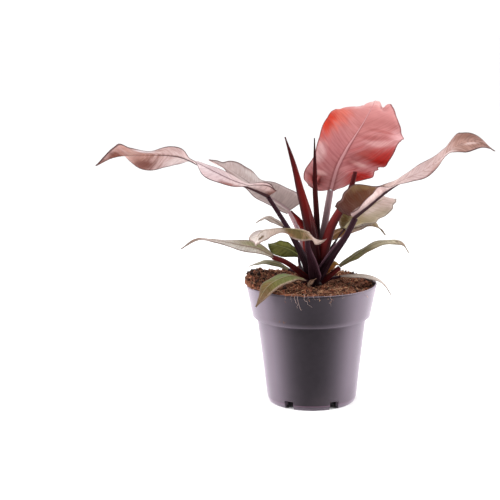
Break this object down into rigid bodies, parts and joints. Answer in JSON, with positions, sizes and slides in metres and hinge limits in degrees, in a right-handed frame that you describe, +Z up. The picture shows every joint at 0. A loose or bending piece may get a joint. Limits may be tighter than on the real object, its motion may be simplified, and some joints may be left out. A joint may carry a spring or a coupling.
{
  "type": "potted sunlight philodendron",
  "caption": "Red-leaved foliage plant with long waved blades on dark stalks and upright pointed sheaths, growing in soil in a round tapering plastic pot.",
  "frame": {"origin": "centre of the pot's flat underside, where it stands", "axes": "+Z up the pot's axis, -Y towards the viewer of the picture, +X to the right in it"},
  "size_m": [0.3461, 0.1691, 0.2712],
  "materials": {
    "pot": "satin, dark warm grey",
    "soil": "rough, loose coir and peat",
    "stalk": "glossy, burgundy to purple-black",
    "sheath": "glossy, deep red",
    "red_leaf": "satin, pinkish red with orange-red patches",
    "pink_leaf": "satin, pink-grey with a rust underside",
    "olive_leaf": "satin, olive with pale and rusty edges",
    "green_leaf": "satin, green",
    "dry": "matt, dried and papery"
  },
  "bodies": {
    "root": {"pot": "pot", "soil": "soil", "crown": "stalk", "spear_tall": "sheath", "spear_thin": "sheath", "spear_right": "sheath", "sheath_left": "sheath", "upright_stalk": "stalk", "left_near_stalk": "stalk", "right_near_stalk": "stalk", "left_far_stalk": "stalk", "right_far_stalk": "stalk", "front_stalk": "stalk", "left_low_stalk": "sheath", "right_low_stalk": "sheath", "back_right_stalk": "stalk", "back_left_stalk": "stalk", "green_stalk": "stalk", "left_drooping_stalk": "stalk", "right_drooping_stalk": "stalk", "left_soil_stalk": "stalk", "upright_blade": "red_leaf", "left_near_blade": "pink_leaf", "right_near_blade": "pink_leaf", "left_far_blade": "pink_leaf", "right_far_blade": "olive_leaf", "front_blade": "olive_leaf", "left_low_blade": "olive_leaf", "right_low_blade": "green_leaf", "back_right_blade": "olive_leaf", "back_left_blade": "pink_leaf", "green_blade": "green_leaf", "left_drooping_blade": "green_leaf", "right_drooping_blade": "pink_leaf", "left_soil_blade": "olive_leaf", "dry_bract": "dry", "dry_sheath": "dry"}
  },
  "joints": []
}
